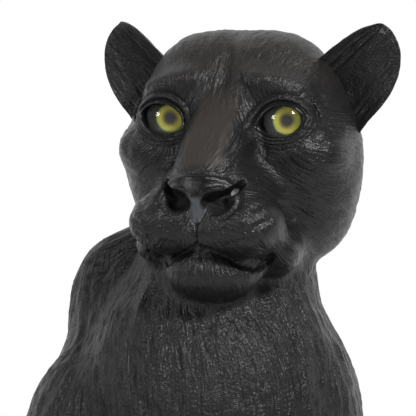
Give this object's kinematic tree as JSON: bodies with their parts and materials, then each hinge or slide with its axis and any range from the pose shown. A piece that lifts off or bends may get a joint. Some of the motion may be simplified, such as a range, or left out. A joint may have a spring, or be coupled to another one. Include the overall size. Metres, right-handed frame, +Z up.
{
  "type": "tv lamp",
  "caption": "Figural television lamp: a hollow black panther bust with glass eyes on a board, open at the back round an upright bulb and turn-knob socket.",
  "frame": {"origin": "centre of the underside of the base felt", "axes": "+Z up; -Y is the way the board's front edge and the glass eyes face; +Y is the open back"},
  "size_m": [0.264, 0.206, 0.3132],
  "materials": {
    "black_cast": "satin to gloss black over sculpted fur",
    "eye_glass": "clear polished glass",
    "iris_paint": "olive-yellow paint behind glass",
    "pupil_paint": "black paint behind glass",
    "black_plastic": "matte black",
    "brass": "lightly aged brass",
    "lacquered_wood": "black-brown lacquer",
    "felt": "green felt",
    "steel": "plated steel",
    "fibre": "vulcanised fibre",
    "phenolic": "moulded phenolic",
    "bulb_glass": "clear glass",
    "solder": "tinned solder",
    "tungsten": "tungsten",
    "rubber": "moulded rubber"
  },
  "bodies": {
    "lamp": {"panther_shell": "black_cast", "eye_glass_left": "eye_glass", "eye_glass_right": "eye_glass", "iris_left": "iris_paint", "iris_right": "iris_paint", "pupil_left": "pupil_paint", "pupil_right": "pupil_paint", "eye_seat_left": "black_plastic", "eye_seat_right": "black_plastic", "eye_ring_left": "brass", "eye_ring_right": "brass", "base_board": "lacquered_wood", "base_felt": "felt", "shell_screws": "steel", "lamp_pipe": "brass", "pipe_locknuts": "steel", "pipe_washers": "steel", "stem_sleeve": "brass", "socket_cap": "brass", "socket_shell": "brass", "socket_liner": "fibre", "socket_body": "phenolic", "screw_sleeve": "brass", "center_contact": "brass", "terminal_screws": "brass", "cord_bushing": "rubber"},
    "switch": {"switch_shaft": "steel", "switch_knob": "phenolic"},
    "bulb_contact": {"bulb_tip": "solder"},
    "bulb": {"bulb_glass": "bulb_glass", "bulb_cap": "brass", "bulb_insulator": "phenolic", "bulb_stem": "bulb_glass", "lead_wires": "steel", "filament": "tungsten"}
  },
  "joints": [
    {"name": "switch_turn", "type": "hinge", "parent": "lamp", "child": "switch", "pos_m": [0.016, 0.026, 0.0732], "axis": [0, 1, 0], "continuous": true},
    {"name": "bulb_lift", "type": "slide", "parent": "lamp", "child": "bulb_contact", "axis": [0, 0, 1], "range_m": [0, 0.0182]},
    {"name": "bulb_turn", "type": "hinge", "parent": "bulb_contact", "child": "bulb", "pos_m": [0.016, 0.026, 0.0822], "axis": [0, 0, 1], "range_deg": [0, 1800]}
  ],
  "couplings": [
    {"joint": "bulb_lift", "follows": "bulb_turn", "m_per_rad": 0.00057773}
  ]
}
